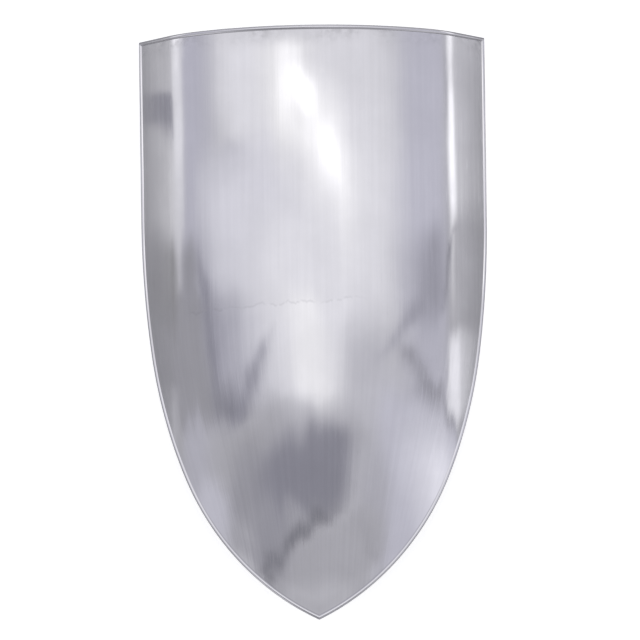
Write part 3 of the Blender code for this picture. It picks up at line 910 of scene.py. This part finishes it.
# The studio's flats and soft lights, each laid over those before it. A card's middle is given in degrees from
# straight above the shield: across it, and along it towards the top edge. Then come half its size both ways,
# its lean (degrees across for one along) and slope (degrees along for one across), how square it is (2 is an
# ellipse), how soft its edge is, its brightness and how blue it is.
STUDIO_CARDS = {
    "overhead_light": (-2, 42, 42, 45.4, 0, 0, 3, 0.75, 1.27, 0.03),
    "overhead_left_half": (-33, 9.6, 12, 2.8, 0, 0, 2, 0.8, 1.20, 0.03),
    "overhead_right_half": (8, 3.9, 42, 5.2, 0, 0.03, 2, 0.60, 1.18, 0.03),
    "overhead_core_far": (-12, 9.8, 11, 4.4, -1.2, 0, 2, 0.8, 1.34, 0),
    "overhead_slot": (-13, 10.7, 3, 2.5, -0.6, 0, 3, 0.6, 1.75, 0),
    "overhead_slot_leaning": (-2, 9, 4, 1.6, -3, 0, 2.4, 0.5, 2.10, 0),
    "overhead_core_middle": (6, 6, 12, 3, -1, 0, 2, 0.7, 1.60, 0),
    "overhead_slot_middle": (9, 5.6, 4, 2.2, -1.4, 0, 2.4, 0.5, 2.10, 0),
    "overhead_core_near": (7, 3.3, 9, 2.6, -1, 0, 2, 0.8, 1.50, 0.01),
    "overhead_far_edge": (-12, 13.4, 38, 2.2, 0, 0, 4, 0.4, 1.04, 0.03),
    "blue_flat_left": (-62, 30, 13, 36, 0, 0, 5, 0.5, 0.77, 0.09),
    "blue_flat_left_low": (-52, 3, 9, 3, 0, 0, 2.4, 0.6, 0.82, 0.07),
    "blue_flat_right": (58, 8, 17, 13, 0, 0, 4, 0.5, 0.83, 0.085),
    "strip_light_left": (-81, 22, 8, 19.2, 0, 0, 4, 0.40, 1.22, 0.03),
    "strip_light_left_end": (-83, 12.6, 5, 1.8, 0, 0, 4, 0.35, 1.75, 0.02),
    "strip_light_right": (84.5, 22, 4.4, 18.8, 0, 0, 4, 0.30, 1.70, 0.02),
    "strip_light_right_low": (84.5, 6.6, 4.2, 2.2, 0, 0, 2.4, 0.5, 1.90, 0.02),
    "side_wall_left": (-105, 20, 15, 40, 0, 0, 6, 0.08, 0.76, 0.03),
    "side_wall_left_low": (-105, 4.4, 17, 2.9, 0, 0, 3, 0.5, 1.06, 0.02),
    "side_wall_right": (105, 20, 15, 40, 0, 0, 6, 0.08, 0.84, 0.04),
    "dark_door_left": (-101, 8.45, 13, 0.65, 0, 0, 6, 0.20, 0.42, 0.09),
    "dark_flat_left": (-76, -1.6, 46, 2.4, 0, 0, 5, 0.14, 0.50, 0.05),
    "dark_streak_left": (-88, 1.5, 5, 1.7, 0, 0, 2.4, 0.6, 0.40, 0.02),
    "dark_flat_left_top": (-67, 1.7, 8, 1.5, 0, 0, 2.4, 0.5, 0.50, 0.06),
    "edge_light_left": (-95, -3.6, 9, 1.1, 0, 0, 2.4, 0.6, 0.74, 0.04),
    "screen_left": (-38, 1.7, 19, 5.2, 0, 0, 1.8, 0.12, 0.60, 0.09),
    "screen_left_lighter": (-17, 0.6, 18, 4, 2, 0, 2, 0.8, 0.88, 0.06),
    "screen_left_top": (-30, 3.7, 22, 2.9, 0, 0, 4, 0.3, 1.06, 0.05),
    "grey_between": (-2, -4.4, 27, 1.5, 0, 0, 3, 0.3, 0.66, 0.05),
    "tongue_upper_left": (-4, 0.8, 23, 4.2, -1, 0, 2.4, 0.45, 1.20, 0.03),
    "tongue_of_light": (-3, -0.9, 8.5, 2.6, -1.6, 0, 2.2, 0.36, 1.38, 0.01),
    "grey_right_of_tongue": (24, -2.1, 10, 1.9, 0, 0, 2.4, 0.6, 0.82, 0.05),
    "dark_patch_right": (60, 1.7, 12, 1.9, 2, 0, 2, 0.7, 0.54, 0.09),
    "dark_streak_right": (47, 0.6, 3, 1.9, 8, 0, 2.4, 0.6, 0.54, 0.09),
    "wedge_light_right": (85, -2.5, 9, 1.9, 2, 0, 3, 0.2, 1.32, 0.03),
    "light_flat_right_edge": (64, -7.5, 25, 4.6, 0, -0.035, 4, 0.05, 0.38, 0.08),
    "light_flat_right": (58, -8.35, 32, 5.05, 0, -0.035, 5, 0.12, 0.84, 0.08),
    "light_flat_right_end": (67, -7.9, 18, 3.4, -2, 0, 3, 0.6, 1.24, 0.05),
    "grey_right_of_middle": (26, -7.1, 9, 1.9, 0, 0, 2.4, 0.6, 0.66, 0.06),
    "grey_left_of_middle": (-33, -5.2, 14, 1.3, 0, 0, 2.4, 0.7, 0.62, 0.04),
    "dark_left_of_end": (-30, -7.1, 13, 1.8, 0, 0.02, 2.4, 0.6, 0.50, 0.06),
    "dark_middle": (-6, -6.4, 20, 1.7, 1.8, 0, 2.2, 0.3, 0.39, 0.10),
    "dark_middle_top": (7, -5.8, 7, 1.25, 0, 0, 3, 0.3, 0.39, 0.10),
    "dark_above_end": (-20, -8.9, 9, 1.1, 0, 0, 2.4, 0.6, 0.48, 0.07),
    "soft_flat_left_end": (-52, -8, 10, 1.7, 0, 0, 2, 0.4, 0.86, 0.07),
    "grey_end": (3, -10.4, 29, 2.1, 0, 0.05, 2.2, 0.08, 0.64, 0.045),
    "light_tip": (0, -11.5, 16, 1.1, 0, 0, 2.4, 0.6, 0.80, 0.04),
    "line_left_down": (-52, -0.4, 2.2, 3.4, -1.8, 0, 2.4, 0.6, 0.38, 0.12),
    "line_left_bottom": (-38, -3.45, 7, 0.55, 0, 0, 2, 0.7, 0.32, 0.11),
    "line_left_up": (-30, -2.5, 2.8, 1.6, 5.2, 0, 2.4, 0.7, 0.46, 0.10),
    "line_end_slanting": (-8, -8.55, 19, 0.26, 0, 0.062, 3, 0.5, 0.27, 0.09),
    "line_end_down": (-23, -10, 1.8, 0.8, -2, 0, 2.4, 0.6, 0.30, 0.08),
    "line_end_right": (24, -9.3, 0.9, 0.8, -5, 0, 2.4, 0.6, 0.46, 0.06),
    "line_right_down": (78, 2, 2, 1.3, 6.4, 0, 2.4, 0.6, 0.36, 0.09),
    "line_right_slanting": (47, -1.9, 7, 0.35, 0, -0.10, 2.4, 0.6, 0.44, 0.08),
    "dark_behind_tip": (0, -50, 45, 33, 0, 0, 3, 0.3, 0.34, 0.05),
    "low_light_left": (-70, -46, 24, 9, 0, 0, 3, 0.6, 1.05, 0.04),
    "low_light_right": (66, -42, 18, 10, 0.4, 0, 3, 0.6, 0.85, 0.04),
    "low_light_middle": (12, -42, 16, 7, 0.8, 0, 3, 0.5, 0.95, 0.05),
    "dark_above_top": (0, 52, 60, 12, 0, 0, 4, 0.4, 0.60, 0.07),
}
WALL_BRIGHTNESS = 0.62
WALL_BLUE = 0.04
BACKDROP_BRIGHTNESS = 1.0

# How far the flats' edges waver, in degrees
WARP_ACROSS = 6.0
WARP_ALONG = 0.8

FLOOR_GLOW = 0.72
FLOOR_SIZE = 2.0
CAMERA_DISTANCE = 1.80
CAMERA_FOCAL_PIXELS = 1409.8
PICTURE_PIXELS = 640
CAMERA_ROLL = math.radians(0.80)
CAMERA_OFFSET = (0.0061, 0.0028)
SENSOR = 36.0


def tinted(brightness, blue):
    """A grey of that brightness, with blue raised by a share and the rest lowered by half of it."""
    return (brightness * (1 - blue / 2), brightness * (1 - blue / 2), brightness * (1 + blue), 1.0)


def card_group():
    """Mask of one card: a rounded box or ellipse in angles across and along, with a soft edge."""
    labels = ("Across", "Along", "Middle across", "Middle along", "Half across", "Half along")
    labels += ("Lean", "Slope", "Square", "Soft")
    nodes, given, out = new_group(
        "studio_card", dict.fromkeys(labels, "NodeSocketFloat"), {"Mask": "NodeSocketFloat"}
    )
    up = nodes.math("SUBTRACT", given["Along"], given["Middle along"])
    leaning = nodes.math("MULTIPLY_ADD", up, given["Lean"], given["Middle across"])
    side = nodes.math("SUBTRACT", given["Across"], leaning)
    falling = nodes.times(side, given["Slope"])
    up = nodes.math("SUBTRACT", up, falling)
    terms = []
    for offset, half in ((side, given["Half across"]), (up, given["Half along"])):
        share = nodes.math("ABSOLUTE", nodes.math("DIVIDE", offset, half))
        terms.append(nodes.math("POWER", share, given["Square"]))
    distance = nodes.math("POWER", nodes.math("ADD", *terms), nodes.math("DIVIDE", 1.0, given["Square"]))
    inner = nodes.math("SUBTRACT", 1.0, given["Soft"])
    outer = nodes.math("ADD", 1.0, given["Soft"])
    nodes.put(nodes.ease(distance, inner, outer, 1.0, 0.0), out["Mask"])


def make_studio_light(lie):
    """The soft studio round the shield: pale walls, and the cards in front of them, edges slightly wavy.

    The camera itself sees a plain pale backdrop.
    """
    world = bpy.data.worlds.new("studio")
    bpy.context.scene.world = world
    world.use_nodes = True
    nodes = Nodes(world.node_tree)
    turn = nodes.add("ShaderNodeMapping", vector_type="VECTOR")
    nodes.put(nodes.add("ShaderNodeTexCoord").outputs["Generated"], turn.inputs["Vector"])
    turn.inputs["Rotation"].default_value = (-math.atan2(lie[2, 1], lie[1, 1]), 0, 0)
    x, y, z = nodes.parts(turn.outputs["Vector"])
    wave = nodes.noise(turn.outputs["Vector"], 9.0, 2.0)
    ripple = nodes.noise(turn.outputs["Vector"], 12.0, 1.0)
    across = nodes.math("DEGREES", nodes.math("ARCTAN2", x, z))
    across = nodes.math("ADD", across, nodes.remap(wave, 0.0, 1.0, -WARP_ACROSS, WARP_ACROSS))
    along = nodes.math("DEGREES", nodes.math("ARCSINE", y))
    along = nodes.math("ADD", along, nodes.remap(ripple, 0.0, 1.0, -WARP_ALONG, WARP_ALONG))
    light = tinted(WALL_BRIGHTNESS, WALL_BLUE)
    for values in STUDIO_CARDS.values():
        card = nodes.add("ShaderNodeGroup", node_tree=bpy.data.node_groups["studio_card"])
        for value, socket in zip((across, along, *values), card.inputs):
            nodes.put(value, socket)
        light = nodes.mix(card.outputs["Mask"], light, tinted(*values[-2:]))
    seen = nodes.add("ShaderNodeLightPath").outputs["Is Camera Ray"]
    light = nodes.mix(seen, light, tinted(BACKDROP_BRIGHTNESS, 0.0))
    background = world.node_tree.nodes["Background"]
    nodes.put(light, background.inputs["Color"])
    background.inputs["Strength"].default_value = 1.0
    world.cycles.sampling_method = "NONE"


def make_camera(lie):
    """A long lens straight over the face, as far off as the photograph's perspective says."""
    data = bpy.data.cameras.new("photograph")
    data.sensor_width = SENSOR
    data.lens = CAMERA_FOCAL_PIXELS * SENSOR / PICTURE_PIXELS
    camera = bpy.data.objects.new("photograph", data)
    bpy.context.scene.collection.objects.link(camera)
    roll = Matrix.Rotation(-CAMERA_ROLL, 4, "Z")
    offset = roll @ Vector((*CAMERA_OFFSET, 0))
    above = Matrix.Translation((offset.x, offset.y, CAMERA_DISTANCE))
    camera.matrix_world = Matrix([list(row) for row in lie]) @ above @ roll
    bpy.context.scene.camera = camera


class SHIELD_OT_plate(bpy.types.Operator):
    """Builds the bent plate with its rolled rim."""

    bl_idname = "shield.plate"
    bl_label = "Shield plate"

    def execute(self, context):
        part = plate_part(context.scene.shield_plate)
        lie = lie_of_the_shield(part)
        steel = plate_steel(context.scene.shield_finish)
        make_piece("shield_plate_skin", part, lie, steel, ["shield_plate"], 30)
        return {"FINISHED"}


class SHIELD_OT_grips(bpy.types.Operator):
    """Builds both straps with their loops and rivets."""

    bl_idname = "shield.grips"
    bl_label = "Straps, loops and rivets"

    def execute(self, context):
        plate = context.scene.shield_plate
        grips = context.scene.shield_grips
        finish = context.scene.shield_finish
        lie = lie_of_the_shield(plate_part(plate))
        steel = fitting_steel()
        for name, rivets in (("forearm", 2), ("hand", 1)):
            width = getattr(grips, name + "_width")
            line = StrapLine(getattr(grips, name + "_span"), getattr(grips, name + "_arch"), grips)
            seat = seat_matrix(getattr(grips, name + "_place"), plate)
            leather = strap_leather(finish, width, grips.leather)
            strap = placed(strap_part(line, width, grips), seat)
            make_piece(f"{name}_strap_leather", strap, lie, leather, [f"{name}_strap"])
            for side, end in ((1, "top"), (-1, "bottom")):
                loop = placed(loop_part(width, line, grips, plate, side), seat)
                node = f"{name}_loop_{end}"
                make_piece(node + "_wire", loop, lie, steel, [node])
                for index, spot in enumerate(rivet_matrices(line, side, rivets)):
                    rivet = placed(placed(rivet_part(line), spot), seat)
                    node = f"{name}_rivet_{end}_{index + 1}"
                    make_piece(node + "_head", rivet, lie, steel, [node])
        return {"FINISHED"}


class SHIELD_OT_stage(bpy.types.Operator):
    """Builds the pale floor, the soft light and the camera."""

    bl_idname = "shield.stage"
    bl_label = "Studio"

    def execute(self, context):
        half = FLOOR_SIZE / 2
        mesh = bpy.data.meshes.new("floor")
        corners = [(-half, -half, 0), (half, -half, 0), (half, half, 0), (-half, half, 0)]
        mesh.from_pydata(corners, [], [(0, 1, 2, 3)])
        mesh.materials.append(floor_paint(context.scene.shield_finish))
        floor = bpy.data.objects.new("floor", mesh)
        context.scene.collection.objects.link(floor)
        lie = lie_of_the_shield(plate_part(context.scene.shield_plate))
        make_studio_light(lie)
        make_camera(lie)
        context.scene.view_settings.view_transform = "Standard"
        return {"FINISHED"}


class SHIELD_PT_build(bpy.types.Panel):
    """Lists what can be built and the sizes that can be set."""

    bl_label = "Heater Shield"
    bl_idname = "SHIELD_PT_build"
    bl_space_type = "VIEW_3D"
    bl_region_type = "UI"
    bl_category = "Shield"

    def draw(self, context):
        for operator in OPERATORS:
            self.layout.operator(operator.bl_idname)
        for group in (context.scene.shield_plate, context.scene.shield_grips, context.scene.shield_finish):
            box = self.layout.box()
            for label in group.bl_rna.properties.keys():
                if label not in ("rna_type", "name"):
                    box.prop(group, label)


OPERATORS = (SHIELD_OT_plate, SHIELD_OT_grips, SHIELD_OT_stage)
CLASSES = (PlateSizes, GripSizes, Finish, *OPERATORS, SHIELD_PT_build)


def register():
    for item in CLASSES:
        bpy.utils.register_class(item)
    bpy.types.Scene.shield_plate = PointerProperty(type=PlateSizes)
    bpy.types.Scene.shield_grips = PointerProperty(type=GripSizes)
    bpy.types.Scene.shield_finish = PointerProperty(type=Finish)


def unregister():
    for name in ("shield_plate", "shield_grips", "shield_finish"):
        delattr(bpy.types.Scene, name)
    for item in reversed(CLASSES):
        bpy.utils.unregister_class(item)


def main():
    register()
    brushing_group()
    clouds_group()
    card_group()
    bpy.ops.shield.plate()
    bpy.ops.shield.grips()
    bpy.ops.shield.stage()


if __name__ == "__main__":
    main()
